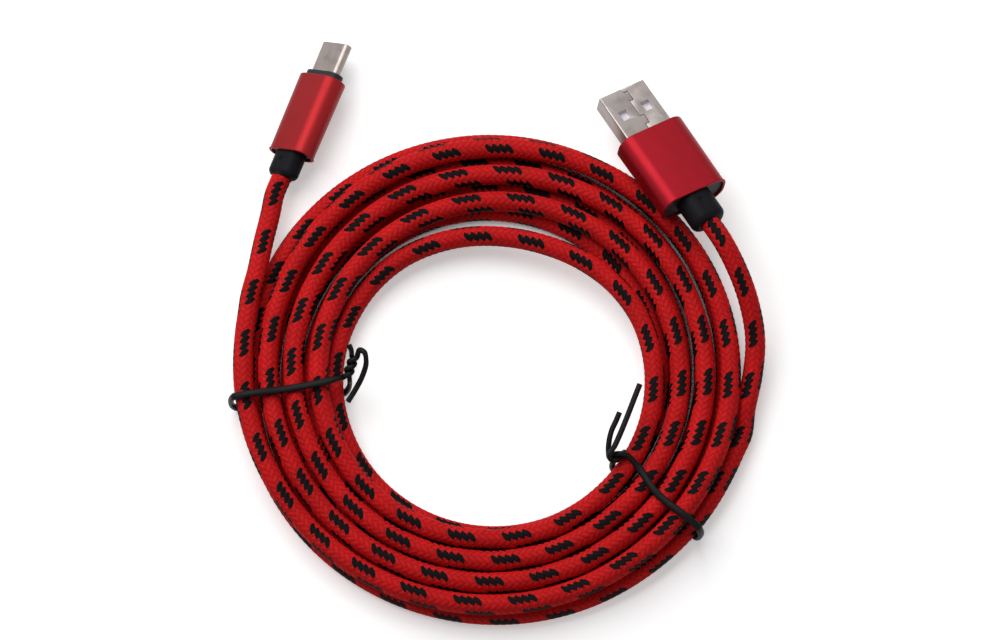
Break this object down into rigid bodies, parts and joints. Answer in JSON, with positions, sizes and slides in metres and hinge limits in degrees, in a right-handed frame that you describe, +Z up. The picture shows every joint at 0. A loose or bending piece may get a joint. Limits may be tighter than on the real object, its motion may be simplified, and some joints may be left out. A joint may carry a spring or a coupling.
{
  "type": "charging cable",
  "caption": "Braided USB-A to USB-C charging cable, wound in a flat coil held by wire ties, with a metal-sleeved plug at each end.",
  "frame": {"origin": "middle of the coil, on the table it rests on", "axes": "+Z up; the coil lies flat in X and Y, and both plugs point towards +Y"},
  "size_m": [0.1204, 0.1364, 0.0184],
  "materials": {
    "braid": "woven nylon braid",
    "jacket": "satin",
    "nickel_steel": "nickel plated",
    "white_plastic": "moulded",
    "contact_gold": "plated",
    "black_plastic": "moulded",
    "pre_mould": "moulded",
    "red_aluminium": "anodised satin",
    "wire_red": "extruded",
    "wire_white": "extruded",
    "wire_green": "extruded",
    "wire_black": "extruded",
    "board_green": "solder mask",
    "resistor_black": "glazed",
    "tie_coat": "extruded",
    "tie_steel": "drawn"
  },
  "bodies": {
    "root": {"coil": "braid", "usb_a_lead": "braid", "usb_c_lead": "braid", "usb_a_shell": "nickel_steel", "usb_a_insulator": "white_plastic", "usb_a_contact_vbus": "contact_gold", "usb_a_contact_d_minus": "contact_gold", "usb_a_contact_d_plus": "contact_gold", "usb_a_contact_gnd": "contact_gold", "usb_a_crimp": "nickel_steel", "usb_a_inner_mould": "pre_mould", "usb_a_body": "black_plastic", "usb_a_sleeve": "red_aluminium", "usb_a_boot": "black_plastic", "usb_a_wire_red": "wire_red", "usb_a_wire_white": "wire_white", "usb_a_wire_green": "wire_green", "usb_a_wire_black": "wire_black", "usb_a_cable_end": "jacket", "usb_c_shell": "nickel_steel", "usb_c_insulator": "black_plastic", "usb_c_contacts_upper": "contact_gold", "usb_c_contacts_lower": "contact_gold", "usb_c_latch_spring": "nickel_steel", "usb_c_board": "board_green", "usb_c_resistor": "resistor_black", "usb_c_crimp": "nickel_steel", "usb_c_inner_mould": "pre_mould", "usb_c_body": "black_plastic", "usb_c_sleeve": "red_aluminium", "usb_c_boot": "black_plastic", "usb_c_wire_red": "wire_red", "usb_c_wire_white": "wire_white", "usb_c_wire_green": "wire_green", "usb_c_wire_black": "wire_black", "usb_c_cable_end": "jacket", "left_tie_coat": "tie_coat", "left_tie_wire": "tie_steel", "right_tie_coat": "tie_coat", "right_tie_wire": "tie_steel"}
  },
  "joints": []
}
